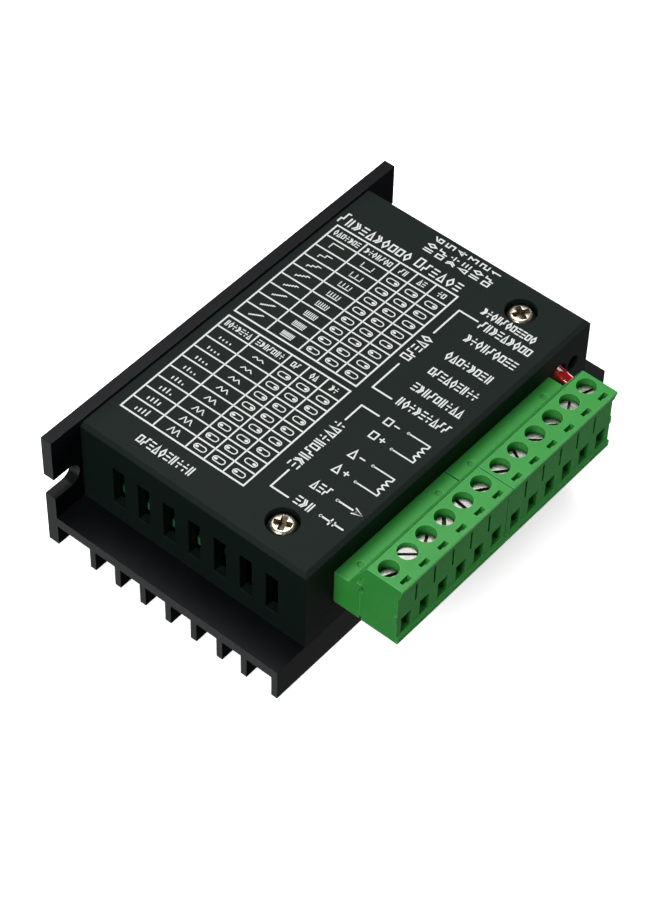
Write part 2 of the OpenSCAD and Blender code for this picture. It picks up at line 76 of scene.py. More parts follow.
class Surface:
    """One node material: a Principled shader and short calls that wire textures into it."""

    def __init__(self, name, colour, roughness, metallic=0.0, specular=0.5):
        self.material = bpy.data.materials.new(name)
        self.material.use_nodes = True
        self.tree = self.material.node_tree
        self.shader = self.tree.nodes["Principled BSDF"]
        self.place = self.tree.nodes.new("ShaderNodeTexCoord").outputs["Object"]
        self.set("Base Color", (*colour, 1.0))
        self.set("Roughness", roughness)
        self.set("Metallic", metallic)
        self.set("Specular IOR Level", specular)

    def set(self, socket, value):
        self.shader.inputs[socket].default_value = value

    def link(self, output, socket):
        self.tree.links.new(output, self.shader.inputs[socket])

    def node(self, kind, **values):
        made = self.tree.nodes.new(kind)
        for name, value in values.items():
            if hasattr(made, name):
                setattr(made, name, value)
            else:
                made.inputs[name.replace("_", " ")].default_value = value
        return made

    def wire(self, output, target, socket):
        self.tree.links.new(output, target.inputs[socket])

    def noise(self, size, stretch=(1, 1, 1), detail=3.0, rough=0.55):
        """Noise with features of about size metres, longer along the axes where stretch is above 1."""
        scaled = self.node("ShaderNodeMapping")
        scaled.inputs["Scale"].default_value = [1 / (size * s) for s in stretch]
        self.wire(self.place, scaled, "Vector")
        made = self.node("ShaderNodeTexNoise", Scale=1.0, Detail=detail, Roughness=rough)
        self.wire(scaled.outputs["Vector"], made, "Vector")
        return made.outputs["Fac"]

    def ramp(self, value, low, high, start=0.35, end=0.65):
        """value turned into a colour or grey between low and high."""
        made = self.node("ShaderNodeValToRGB")
        for stop, place, colour in zip(made.color_ramp.elements, (start, end), (low, high)):
            stop.position = place
            stop.color = (*colour, 1.0) if isinstance(colour, tuple) else (colour, colour, colour, 1.0)
        self.wire(value, made, "Fac")
        return made.outputs["Color"]

    def mix(self, factor, first, second):
        """Colour between two colours, each an output or an RGB triple."""
        made = self.node("ShaderNodeMix", data_type="RGBA")
        self.wire(factor, made, "Factor")
        for socket, colour in (("A", first), ("B", second)):
            target = [s for s in made.inputs if s.name == socket and s.type == "RGBA"][0]
            if isinstance(colour, tuple):
                target.default_value = (*colour, 1.0)
            else:
                self.tree.links.new(colour, target)
        return [s for s in made.outputs if s.type == "RGBA"][0]

    def bump(self, height, depth, strength):
        """Relief of the given depth in metres, added to any relief already there."""
        made = self.node("ShaderNodeBump", Strength=strength, Distance=depth)
        self.wire(height, made, "Height")
        normal = self.shader.inputs["Normal"]
        if normal.links:
            self.wire(normal.links[0].from_socket, made, "Normal")
        self.tree.links.new(made.outputs["Normal"], normal)

    def facing(self, axis):
        """Mask that is 1 on faces square to the object's X, Y or Z axis and 0 on the others."""
        parts = self.node("ShaderNodeSeparateXYZ")
        self.wire(self.tree.nodes["Texture Coordinate"].outputs["Normal"], parts, 0)
        size = self.node("ShaderNodeMath", operation="ABSOLUTE")
        self.wire(parts.outputs[axis], size, 0)
        return self.ramp(size.outputs[0], 0.0, 1.0, 0.8, 0.95)

    def edges(self, radius):
        """Mask that is 1 on edges rounded over less than radius and 0 on flat faces."""
        rounded = self.node("ShaderNodeBevel", samples=4, Radius=radius)
        real = self.node("ShaderNodeNewGeometry")
        match = self.node("ShaderNodeVectorMath", operation="DOT_PRODUCT")
        self.wire(rounded.outputs["Normal"], match, 0)
        self.wire(real.outputs["True Normal"], match, 1)
        return self.ramp(match.outputs["Value"], 1.0, 0.0, 0.90, 0.995)


def black_anodised():
    """Extruded aluminium, anodised black: die lines along X, duller and greyer where it was sawn off."""
    s = Surface("black_anodised", (0.004, 0.004, 0.005), 0.42, specular=0.09)
    cloud = s.noise(9 * MM, detail=5)
    lines = s.noise(0.25 * MM, stretch=(160, 1, 1), detail=2)
    base = s.mix(cloud, (0.0022, 0.0024, 0.0032), (0.0050, 0.0052, 0.0062))
    saw = s.noise(0.18 * MM, stretch=(1, 1, 14), detail=3)
    cut = s.mix(saw, (0.030, 0.032, 0.032), (0.058, 0.061, 0.061))
    ends = s.facing("X")
    # Lighter grey in patches on the rounded edges: partly worn anodising, partly a painted highlight along
    # the edges.
    edge_wear_and_highlight = s.node("ShaderNodeMath", operation="MULTIPLY")
    s.wire(s.edges(0.15 * MM), edge_wear_and_highlight, 0)
    s.wire(s.ramp(s.noise(0.9 * MM, detail=4), 0.0, 0.5, 0.42, 0.7), edge_wear_and_highlight, 1)
    s.link(s.mix(edge_wear_and_highlight.outputs[0], s.mix(ends, base, cut), (0.07, 0.07, 0.075)), "Base Color")
    s.link(s.mix(ends, s.ramp(lines, 0.34, 0.48, 0.3, 0.7), (0.62, 0.62, 0.62)), "Roughness")
    s.bump(lines, 0.012 * MM, 0.5)
    s.bump(s.noise(0.12 * MM), 0.006 * MM, 0.4)
    return s.material


def cover_plastic():
    """Dark greenish-grey moulded plastic with a fine spark texture."""
    s = Surface("cover_plastic", (0.006, 0.010, 0.008), 0.52, specular=0.10)
    cloud = s.noise(14 * MM, detail=4)
    grain = s.noise(0.22 * MM, detail=3, rough=0.7)
    base = s.mix(cloud, (0.0022, 0.0056, 0.0040), (0.0038, 0.0080, 0.0062))
    s.link(s.mix(s.ramp(grain, 0.0, 0.35, 0.5, 0.8), base, (0.014, 0.021, 0.018)), "Base Color")
    s.link(s.ramp(grain, 0.50, 0.66), "Roughness")
    s.bump(grain, 0.02 * MM, 0.55)
    s.bump(s.noise(6 * MM), 0.03 * MM, 0.25)
    return s.material


def terminal_green():
    """Semi-gloss green polyamide: slightly milky, with faint flow marks and a painted highlight on its
    rounded edges.
    """
    s = Surface("terminal_green", (0.040, 0.25, 0.048), 0.42, specular=0.18)
    flow = s.noise(5 * MM, stretch=(2, 1, 1), detail=4)
    flat = s.mix(flow, (0.022, 0.195, 0.030), (0.034, 0.250, 0.042))
    # Painted highlight: a lighter green on the rounded edges.
    s.link(s.mix(s.edges(0.22 * MM), flat, (0.085, 0.34, 0.10)), "Base Color")
    s.link(s.ramp(s.noise(0.6 * MM, detail=4), 0.36, 0.48), "Roughness")
    s.set("Subsurface Weight", 0.10)
    s.set("Subsurface Radius", (0.3, 1.0, 0.3))
    s.set("Subsurface Scale", 0.5 * MM)
    s.bump(s.noise(0.35 * MM, detail=3), 0.008 * MM, 0.5)
    return s.material


def plated_steel(name="plated_steel", low=(0.13, 0.135, 0.12), high=(0.33, 0.335, 0.31)):
    """Plated screw steel with turning marks and small scuffs."""
    s = Surface(name, high, 0.27, metallic=1.0)
    scuffs = s.noise(0.35 * MM, detail=5, rough=0.7)
    s.link(s.mix(scuffs, low, high), "Base Color")
    s.link(s.ramp(scuffs, 0.22, 0.46), "Roughness")
    s.bump(s.noise(0.16 * MM, detail=4), 0.01 * MM, 0.6)
    return s.material


def painted_recess_shade():
    """Painted shade: dark brown colour in the bottom of a screw's recess, where shade falls."""
    s = Surface("painted_recess_shade", (0.06, 0.04, 0.02), 0.55, metallic=0.6)
    blotch = s.noise(0.3 * MM, detail=4)
    patches = s.ramp(blotch, 0.0, 1.0, 0.4, 0.75)
    s.link(s.mix(patches, (0.028, 0.018, 0.008), (0.22, 0.16, 0.08)), "Base Color")
    s.bump(blotch, 0.02 * MM, 0.6)
    return s.material


def tinned_copper():
    s = Surface("tinned_copper", (0.7, 0.69, 0.66), 0.35, metallic=1.0)
    blotch = s.noise(0.5 * MM, detail=4)
    s.link(s.mix(blotch, (0.58, 0.57, 0.54), (0.78, 0.77, 0.74)), "Base Color")
    s.link(s.ramp(blotch, 0.28, 0.5), "Roughness")
    return s.material


def white_ink():
    """Screen-printed ink, slightly uneven over the plastic's grain."""
    s = Surface("white_ink", (0.55, 0.57, 0.56), 0.6, specular=0.3)
    wear = s.noise(0.3 * MM, detail=4, rough=0.7)
    s.link(s.mix(wear, (0.40, 0.42, 0.41), (0.66, 0.68, 0.67)), "Base Color")
    s.bump(wear, 0.006 * MM, 0.5)
    return s.material


def lens(name, colour, depth_colour):
    """Tinted clear epoxy of a lamp."""
    s = Surface(name, colour, 0.08, specular=0.6)
    s.link(s.mix(s.noise(1.2 * MM), colour, depth_colour), "Base Color")
    s.set("Transmission Weight", 0.55)
    s.set("IOR", 1.5)
    s.set("Coat Weight", 0.5)
    s.set("Coat Roughness", 0.03)
    return s.material


def solder_mask():
    """Green board: copper tracks seen through the mask, pale marks where it is thin."""
    s = Surface("solder_mask", (0.012, 0.11, 0.04), 0.3, specular=0.5)
    tracks = s.node("ShaderNodeTexBrick", Scale=260.0)
    s.wire(s.place, tracks, "Vector")
    tracks.inputs["Color1"].default_value = (0.010, 0.095, 0.034, 1)
    tracks.inputs["Color2"].default_value = (0.014, 0.125, 0.046, 1)
    tracks.inputs["Mortar"].default_value = (0.030, 0.20, 0.075, 1)
    tracks.inputs["Mortar Size"].default_value = 0.03
    s.link(s.mix(s.noise(8 * MM), tracks.outputs["Color"], (0.012, 0.11, 0.04)), "Base Color")
    s.bump(tracks.outputs["Fac"], 0.02 * MM, 0.5)
    return s.material


def chip_epoxy():
    s = Surface("chip_epoxy", (0.02, 0.02, 0.022), 0.6, specular=0.35)
    grain = s.noise(0.15 * MM, detail=3)
    s.link(s.mix(grain, (0.015, 0.015, 0.017), (0.035, 0.035, 0.038)), "Base Color")
    s.bump(grain, 0.01 * MM, 0.5)
    return s.material


def simple(name, colour, roughness, metallic=0.0, spread=0.15):
    """A surface whose colour and gloss vary a little."""
    s = Surface(name, colour, roughness, metallic=metallic)
    blotch = s.noise(1.2 * MM, detail=4)
    low = tuple(c * (1 - spread) for c in colour)
    high = tuple(min(1.0, c * (1 + spread)) for c in colour)
    s.link(s.mix(blotch, low, high), "Base Color")
    s.link(s.ramp(blotch, max(0.05, roughness - 0.08), roughness + 0.08), "Roughness")
    s.bump(s.noise(0.3 * MM), 0.006 * MM, 0.4)
    return s.material


MATERIALS = {
    "black_anodised": black_anodised(),
    "cover_plastic": cover_plastic(),
    "plated_steel": plated_steel(),
    "board_green": solder_mask(),
    "brass": simple("turned_brass", (0.70, 0.50, 0.20), 0.3, metallic=1.0),
    "pad_grey": simple("heat_pad", (0.42, 0.43, 0.46), 0.8),
    "chip_black": chip_epoxy(),
    "capacitor_can": simple("capacitor_sleeve", (0.02, 0.022, 0.05), 0.35),
    "ceramic_tan": simple("ceramic", (0.32, 0.22, 0.13), 0.5),
    "terminal_green": terminal_green(),
    "tinned_copper": tinned_copper(),
    "lamp_red": lens("red_lens", (0.42, 0.004, 0.008), (0.70, 0.015, 0.02)),
    "lamp_green": lens("green_lens", (0.02, 0.16, 0.03), (0.03, 0.22, 0.04)),
    "switch_red": simple("switch_red", (0.42, 0.012, 0.018), 0.4),
    "slider_white": simple("slider_white", (0.80, 0.80, 0.78), 0.45, spread=0.05),
}
NICKEL = plated_steel("warm_nickel", (0.38, 0.33, 0.25), (0.62, 0.57, 0.46))
# Painted shade for the bottoms of screw recesses and slots.
RECESS_SHADE = painted_recess_shade()
INK = white_ink()


# ---------------------------------------------------------------- mesh tools

PLUG_CUT_D = 8.8 * MM
HEADER_CUT_D = 2.0 * MM


def pole_cuts(node, first, depth):
    """Planes through a plug's poles and one at depth behind its front, so that no face has a hole."""
    across = [((POLE_X[first] + step * HALF_POLE, 0, 0), (1, 0, 0)) for step in range(2 * PLUG_POLES - 1)]
    return [*across, ((0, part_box(node)[0].y + depth, 0), (0, 1, 0))]


CUTS = {"power_plug": pole_cuts("power_plug", 0, PLUG_CUT_D),
        "signal_plug": pole_cuts("signal_plug", PLUG_POLES, PLUG_CUT_D),
        "power_header": pole_cuts("power_header", 0, HEADER_CUT_D),
        "signal_header": pole_cuts("signal_header", PLUG_POLES, HEADER_CUT_D)}


def scene_object(name, data):
    """A new object in the scene that holds a mesh, a light or a camera."""
    made = bpy.data.objects.new(name, data)
    bpy.context.scene.collection.objects.link(made)
    return made


def add_object(name, mesh, body, materials):
    """A new piece with its materials, riding on a body."""
    piece = scene_object(name, mesh)
    mesh.materials.clear()
    for material in materials:
        mesh.materials.append(material)
    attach(piece, body)
    return piece


def clean_copy(node):
    """A CAD node's mesh with its corners joined and its flat faces whole between the planes of its cuts."""
    work = bmesh.new()
    work.from_mesh(frame["nodes"][node].data)
    bmesh.ops.remove_doubles(work, verts=work.verts, dist=0.002 * MM)
    for place, normal in CUTS.get(node, []):
        geometry = [*work.verts, *work.edges, *work.faces]
        cut = bmesh.ops.bisect_plane(work, geom=geometry, dist=0.0005 * MM, plane_co=place, plane_no=normal)
        for edge in cut["geom_cut"]:
            if isinstance(edge, bmesh.types.BMEdge):
                edge.seam = True
    bmesh.ops.dissolve_limit(work, angle_limit=math.radians(1.0), verts=work.verts, edges=work.edges,
                             delimit={"SEAM"})
    for face in work.faces:
        face.smooth = True
    mesh = bpy.data.meshes.new(node + "_mesh")
    work.to_mesh(mesh)
    work.free()
    return mesh


def with_modifiers(name, mesh, setup):
    """The mesh after the modifiers that setup adds to a throwaway object."""
    holder = scene_object(name + "_work", mesh)
    setup(holder)
    graph = bpy.context.evaluated_depsgraph_get()
    result = bpy.data.meshes.new_from_object(holder.evaluated_get(graph))
    bpy.data.objects.remove(holder)
    result.name = name
    return result


def soften(holder, width, segments):
    """Rounded edges that catch the light, with flat faces kept flat."""
    bevel = holder.modifiers.new("bevel", "BEVEL")
    bevel.width = width
    bevel.segments = segments
    bevel.limit_method = "ANGLE"
    bevel.angle_limit = math.radians(35)
    bevel.miter_outer = "MITER_ARC"
    bevel.use_clamp_overlap = True
    normals = holder.modifiers.new("normals", "WEIGHTED_NORMAL")
    normals.keep_sharp = True


def finish(node, width, segments=2):
    """A beveled piece made from a CAD node's own shape, which stands for that node."""
    mesh = with_modifiers(node + "_finish", clean_copy(node), lambda holder: soften(holder, width, segments))
    piece = add_object(node + "_finish", mesh, BODY_OF[node], [MATERIALS[SLOT_OF[node]]])
    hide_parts(node)
    return piece


def shade_slot(screw, node):
    """Painted shade: dark colour inside a clamp screw's slot."""
    rim = 0.15 * MM
    floor_drop = 0.9 * MM
    low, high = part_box(node)
    reach = (high.x - low.x) / 2 - rim
    screw.data.materials.append(RECESS_SHADE)
    for face in screw.data.polygons:
        away = face.center - (low + high) / 2
        drop = high.z - face.center.z
        if away.xy.length < reach and rim < drop < floor_drop:
            face.material_index = 1


def box_into(work, low, high):
    """Adds a closed box between two corners to a bmesh."""
    size = Vector(high) - Vector(low)
    middle = (Vector(high) + Vector(low)) / 2
    place = Matrix.Translation(middle) @ Matrix.Diagonal((*size, 1.0))
    bmesh.ops.create_cube(work, size=1.0, matrix=place)


def mesh_from(work, name, smooth=False):
    for face in work.faces:
        face.smooth = smooth
    bmesh.ops.recalc_face_normals(work, faces=work.faces)
    mesh = bpy.data.meshes.new(name)
    work.to_mesh(mesh)
    work.free()
    return mesh


def lathe_into(work, outline, place):
    """Turns an outline of (radius, height) points, from axis to axis, about place's Z axis."""
    steps = 64
    rings = []
    for radius, height in outline:
        if radius == 0:
            rings.append([work.verts.new(place @ Vector((0, 0, height)))])
            continue
        turns = [2 * math.pi * step / steps for step in range(steps)]
        rings.append([work.verts.new(place @ Vector((radius * math.cos(a), radius * math.sin(a), height)))
                      for a in turns])
    for lower, upper in zip(rings, rings[1:]):
        for step in range(steps):
            nxt = (step + 1) % steps
            if len(lower) == 1:
                work.faces.new((lower[0], upper[nxt], upper[step]))
            elif len(upper) == 1:
                work.faces.new((lower[step], lower[nxt], upper[0]))
            else:
                work.faces.new((lower[step], lower[nxt], upper[nxt], upper[step]))


def thread_outline(low, high, outer, pitch, depth):
    """Ridges of a screw thread as outline points, going up from low to high."""
    points = []
    for turn in range(int((high - low) / pitch)):
        base = low + turn * pitch
        points += [(outer - depth, base), (outer, base + 0.4 * pitch), (outer, base + 0.6 * pitch)]
    return points + [(outer - depth, high)]


# ---------------------------------------------------------------- heatsink, cover and the small parts

def finish_all():
    """Every CAD node that only needs rounded edges, of these widths in millimetres, and its material."""
    widths = {"heatsink": 0.14, "cover": 0.22, "circuit_board": 0.08, "thermal_pad": 0.05,
              "board_spacers": 0.15, "board_screws": 0.1, "driver_chip": 0.12,
              "ceramic_capacitors": 0.12, "optocouplers": 0.12, "voltage_regulator": 0.12,
              "logic_chip": 0.08, "protection_diodes": 0.15, "sense_resistors": 0.08,
              "chip_resistors": 0.06, "power_header": 0.15, "signal_header": 0.15,
              "power_plug": 0.15, "signal_plug": 0.15,
              "power_header_pins": 0.1, "signal_header_pins": 0.1,
              "power_plug_contacts": 0.06, "signal_plug_contacts": 0.06,
              "dip_switch_body": 0.15, "dip_switch_contacts": 0.06}
    for way in range(1, WAYS + 1):
        widths[f"dip_slider_{way}"] = 0.12
    for pole in range(1, POLES + 1):
        widths[f"wire_clamp_{pole:02d}"] = 0.1
    for node, width in widths.items():
        finish(node, width * MM)
    for pole in range(1, POLES + 1):
        node = f"terminal_screw_{pole:02d}"
        shade_slot(finish(node, 0.13 * MM, 3), node)


# ---------------------------------------------------------------- cover screws

RECESS_REACH = 1.7 * MM
RECESS_WING = 1.1 * MM
RECESS_DEPTH = 1.3 * MM
# Depth below a screw head's top where the painted recess shade begins.
SHADE_DROP = 0.22 * MM


def cross_cutter(place):
    """A tapered cross that cuts a screw's recess down from place."""
    work = bmesh.new()
    corners = ((-1, -1), (1, -1), (1, 1), (-1, 1))
    for turn in (0, math.pi / 2):
        spin = place @ Matrix.Rotation(turn, 4, "Z")
        top = [spin @ Vector((sx * RECESS_REACH * 1.12, sy * RECESS_WING / 2 * 1.1, 0.2 * MM))
               for sx, sy in corners]
        foot = [spin @ Vector((sx * RECESS_REACH * 0.42, sy * RECESS_WING / 2 * 0.8, -RECESS_DEPTH))
                for sx, sy in corners]
        upper = [work.verts.new(p) for p in top]
        lower = [work.verts.new(p) for p in foot]
        work.faces.new(upper)
        work.faces.new(lower[::-1])
        for corner in range(4):
            nxt = (corner + 1) % 4
            work.faces.new((upper[nxt], upper[corner], lower[corner], lower[nxt]))
    return work


def cover_screws():
    """Two pan-head screws with painted shade in their cross recesses, each turned its own way, and ringed
    shanks.
    """
    low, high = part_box("cover_screws")
    head_r = 2.7 * MM
    head_h = 1.9 * MM
    top_r = 1.7 * MM
    side_h = 0.6 * MM
    chamfer = 0.1 * MM
    shank_r = 1.45 * MM
    tip_chamfer = 0.5 * MM
    thread_pitch = 0.5 * MM
    thread_d = 0.28 * MM
    turns = (24, 61)
    seat = high.z - head_h
    y = (low.y + high.y) / 2
    work = bmesh.new()
    tops = []
    for x, turn in zip((low.x + head_r, high.x - head_r), turns):
        place = Matrix.Translation((x, y, seat))
        shoulder = [(top_r + (head_r - top_r) * math.cos(a), side_h + (head_h - side_h) * math.sin(a))
                    for a in (math.radians(15 * step) for step in range(7))]
        shank_low = low.z - seat
        outline = [(0, shank_low), (shank_r - tip_chamfer, shank_low)]
        outline += thread_outline(shank_low + 0.4 * MM, -0.6 * MM, shank_r, thread_pitch, thread_d)
        outline += [(shank_r, 0), (head_r - chamfer, 0), (head_r, chamfer), *shoulder, (0, head_h)]
        lathe_into(work, outline, place)
        tops.append(place @ Matrix.Translation((0, 0, head_h)) @ Matrix.Rotation(math.radians(turn), 4, "Z"))
    solid = mesh_from(work, "cover_screws_solid", smooth=True)
    tools = []
    for number, place in enumerate(tops):
        tools.append(scene_object(f"recess_{number}", mesh_from(cross_cutter(place), f"recess_{number}")))

    def setup(holder):
        for tool in tools:
            cut = holder.modifiers.new("cut", "BOOLEAN")
            cut.operation = "DIFFERENCE"
            cut.solver = "EXACT"
            cut.use_self = True
            cut.object = tool
        soften(holder, 0.06 * MM, 2)

    mesh = with_modifiers("cover_screws_finish", solid, setup)
    for tool in tools:
        bpy.data.objects.remove(tool)
    piece = add_object("cover_screws_finish", mesh, "root", [NICKEL, RECESS_SHADE])
    # Faces deep in each cross recess get the painted shade.
    for face in mesh.polygons:
        for place in tops:
            local = place.inverted() @ face.center
            if local.xy.length < RECESS_REACH and -head_h < local.z < -SHADE_DROP:
                face.material_index = 1
    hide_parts("cover_screws")


# ---------------------------------------------------------------- lamps

ALARM_DROOP = math.radians(14)


def lamp(node, slot, droop):
    """A 3 mm lamp along -Y, turned down by droop: a lens, the two posts inside it and its bent leads."""
    low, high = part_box(node)
    flange_r = 1.8 * MM
    flange_t = 0.8 * MM
    chamfer = 0.1 * MM
    lens_r = 1.5 * MM
    body_l = 3.8 * MM
    post_w = 0.4 * MM
    post_d = 0.5 * MM
    post_at = 0.55 * MM
    post_foot = 0.3 * MM
    lead_t = 0.5 * MM
    lead_gap = 0.9 * MM
    into_flange = 0.05 * MM
    back = Vector(((low.x + high.x) / 2, low.y + lens_r + body_l * math.cos(droop),
                   high.z - flange_r * math.cos(droop)))
    facing = Matrix.Translation(back) @ Matrix.Rotation(math.radians(90) + droop, 4, "X")
    work = bmesh.new()
    nose = [(lens_r * math.cos(a), body_l + lens_r * math.sin(a))
            for a in (math.radians(10 * step) for step in range(9))]
    outline = [(0, 0), (flange_r - chamfer, 0), (flange_r, chamfer), (flange_r, flange_t - chamfer),
               (flange_r - chamfer, flange_t), (lens_r, flange_t + 0.05 * MM), *nose, (0, body_l + lens_r)]
    lathe_into(work, outline, facing)
    lens_piece = add_object(node + "_lens", mesh_from(work, node + "_lens", smooth=True), "root",
                            [MATERIALS[slot]])
    work = bmesh.new()
    for side, post_l in ((-1, 3.2 * MM), (1, 2.6 * MM)):
        at = side * post_at
        box_into(work, (at - post_w / 2, -post_d / 2, post_foot), (at + post_w / 2, post_d / 2, post_l))
    bmesh.ops.transform(work, matrix=facing, verts=work.verts)
    for side in (-1, 1):
        left = back.x + side * lead_gap - lead_t / 2
        right = back.x + side * lead_gap + lead_t / 2
        bend = back.z - lead_t / 2
        box_into(work, (left, back.y - into_flange, bend), (right, high.y, back.z + lead_t / 2))
        box_into(work, (left, high.y - lead_t, low.z), (right, high.y, bend))
    leads = with_modifiers(node + "_leads", mesh_from(work, node + "_leads_mesh", smooth=True),
                           lambda holder: soften(holder, 0.06 * MM, 2))
    add_object(node + "_leads", leads, "root", [MATERIALS["tinned_copper"]])
    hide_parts(node)


# ---------------------------------------------------------------- capacitors

def bulk_capacitors():
    """Two cans in shrink sleeves, with a rolled groove, a rounded shoulder and a raised metal disc on top."""
    low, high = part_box("bulk_capacitors")
    can_r = 5 * MM
    foot_chamfer = 0.4 * MM
    groove_d = 0.35 * MM
    shoulder_r = 0.8 * MM
    sleeve_drop = 0.1 * MM
    disc_r = can_r - 0.9 * MM
    disc_t = 0.3 * MM
    height = high.z - low.z
    sleeve = bmesh.new()
    top = bmesh.new()
    for y in (low.y + can_r, high.y - can_r):
        place = Matrix.Translation((low.x + can_r, y, low.z))
        shoulder = [(can_r - shoulder_r * (1 - math.cos(a)),
                     height - sleeve_drop - shoulder_r + shoulder_r * math.sin(a))
                    for a in (math.radians(15 * step) for step in range(7))]
        groove = [(can_r, 1.4 * MM), (can_r - groove_d, 1.8 * MM),
                  (can_r - groove_d, 2.2 * MM), (can_r, 2.6 * MM)]
        outline = [(0, 0), (can_r - foot_chamfer, 0), (can_r, foot_chamfer), *groove, *shoulder,
                   (0, height - sleeve_drop)]
        lathe_into(sleeve, outline, place)
        disc = [(0, height - disc_t), (disc_r, height - disc_t), (disc_r, height - 0.06 * MM),
                (disc_r - 0.1 * MM, height), (0, height)]
        lathe_into(top, disc, place)
    piece = add_object("bulk_capacitors_sleeve", mesh_from(sleeve, "sleeve", smooth=True), "root",
                       [MATERIALS["capacitor_can"]])
    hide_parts("bulk_capacitors")
    add_object("bulk_capacitors_tops", mesh_from(top, "tops"), "root",
               [MATERIALS["tinned_copper"]])


# ---------------------------------------------------------------- print on the cover

# Widths of ink are in metres. Places, lengths and heights on the print are in millimetres from its middle.

INK_T = 0.02 * MM
LINE_W = 0.36 * MM
TITLE_W = 0.34 * MM
RULE_W = 0.32 * MM
GLYPH_W = 0.30 * MM
FINE_W = 0.22 * MM
TEXT_H = 1.95
TITLE_H = 2.1
PRINT_TILT = math.radians(0.6)
PRINT_MIDDLE_Y = 7.5 * MM


def stroke_into(work, points, width, z, closed=False):
    """A flat line of ink along points in X and Y, mitred at its corners, with round ends."""
    half = width / 2
    count = len(points)
    left, right = [], []
    for i, point in enumerate(points):
        into = (point - points[i - 1]).normalized() if i > 0 or closed else None
        out = (points[(i + 1) % count] - point).normalized() if i < count - 1 or closed else None
        into = into or out
        out = out or into
        along = (into + out).normalized()
        across = Vector((-along.y, along.x))
        reach = half / max(0.4, across.dot(Vector((-out.y, out.x))))
        left.append(point + across * reach)
        right.append(point - across * reach)
    fans = []
    if not closed:
        for end, ahead in ((points[-1], points[-1] - points[-2]), (points[0], points[0] - points[1])):
            start = math.atan2(ahead.y, ahead.x) + math.pi / 2
            fans.append([end + half * Vector((math.cos(start - a), math.sin(start - a)))
                         for a in (math.pi * step / 5 for step in range(1, 5))])
    flats = [[left[i], right[i], right[(i + 1) % count], left[(i + 1) % count]]
             for i in range(count if closed else count - 1)]
    if not closed:
        flats.append([left[-1], right[-1], *fans[0][::-1]])
        flats.append([right[0], left[0], *fans[1][::-1]])
        loops = [[*left, *fans[0], *right[::-1], *fans[1]]]
    else:
        loops = [left, right[::-1]]
    made = {}

    def corner(point, height):
        key = (round(point.x, 9), round(point.y, 9), height)
        if key not in made:
            made[key] = work.verts.new((point.x, point.y, height))
        return made[key]

    low, high = z - 0.3 * INK_T, z + INK_T
    for flat in flats:
        work.faces.new([corner(p, high) for p in flat])
        work.faces.new([corner(p, low) for p in flat[::-1]])
    for loop in loops:
        for first, second in zip(loop, loop[1:] + loop[:1]):
            work.faces.new((corner(first, high), corner(second, high),
                            corner(second, low), corner(first, low)))


class Printer:
    """Collects ink on the cover's top. Places are in millimetres from the middle of the print."""

    def __init__(self, z):
        self.work = bmesh.new()
        self.z = z

    def line(self, points, width=LINE_W, closed=False):
        """A stroke of ink, turned with the whole print."""
        turn = Matrix.Rotation(PRINT_TILT, 2)
        placed = [turn @ (Vector(p) * MM) + Vector((0, PRINT_MIDDLE_Y)) for p in points]
        stroke_into(self.work, placed, width, self.z, closed)

    def on(self, place, heading, points, width=GLYPH_W, closed=False):
        """A line given in a sign's own directions: along its heading, and up."""
        ahead = Vector((0, -1)) if heading == "across" else Vector((1, 0))
        up = Vector((1, 0)) if heading == "across" else Vector((0, 1))
        self.line([Vector(place) + ahead * a + up * b for a, b in points], width, closed)

    def dot(self, place, radius):
        """A filled round spot."""
        self.line([Vector(place) - Vector((0.01, 0)), Vector(place) + Vector((0.01, 0))], 2 * radius * MM)


def sign_bars(w, h):
    return [([(0.15 * w, 0), (0.15 * w, h)], False), ([(0.8 * w, 0), (0.8 * w, h)], False)]


def sign_rungs(w, h):
    return [([(0, h * f), (w, h * f)], False) for f in (0.06, 0.5, 0.94)]


def sign_frame(w, h):
    return [([(0, 0.1 * h), (w, 0.1 * h), (w, 0.9 * h), (0, 0.9 * h)], True)]


def sign_diamond(w, h):
    return [([(0, h / 2), (w / 2, 0), (w, h / 2), (w / 2, h)], True)]


def sign_chevrons(w, h):
    return [([(0.5 * w * k, 0.05 * h), (0.5 * w * k + 0.5 * w, h / 2), (0.5 * w * k, 0.95 * h)], False)
            for k in (0, 1)]


def sign_stairs(w, h):
    return [([(0, 0), (0, 0.4 * h), (w / 2, 0.4 * h), (w / 2, h), (w, h)], False)]


def sign_cone(w, h):
    return [([(0, 0), (w, 0), (w / 2, h)], True)]


def sign_pair(w, h):
    return [([(0.5 * w, 0.05 * h), (0.5 * w, 0.2 * h)], False), ([(0, 0.55 * h), (w, 0.55 * h)], False),
            ([(0.5 * w, 0.9 * h), (0.5 * w, 0.98 * h)], False)]


SIGNS = (sign_bars, sign_rungs, sign_frame, sign_diamond, sign_chevrons, sign_stairs, sign_cone, sign_pair)


def signs(printer, place, heading, length, height, seed, width=GLYPH_W, first=1.0, spread=0.66):
    """A row of plain signs that spell nothing and fill length. The first may be taller."""
    count = max(1, round(length / (spread * height)))
    step = length / count
    for index in range(count):
        tall = height * (first if index == 0 else 1.0)
        sign = SIGNS[(seed + 3 * index + index * index // 3) % len(SIGNS)]
        for points, closed in sign(step * 0.62, tall):
            printer.on(place, heading, [(index * step + a, b) for a, b in points], width, closed)


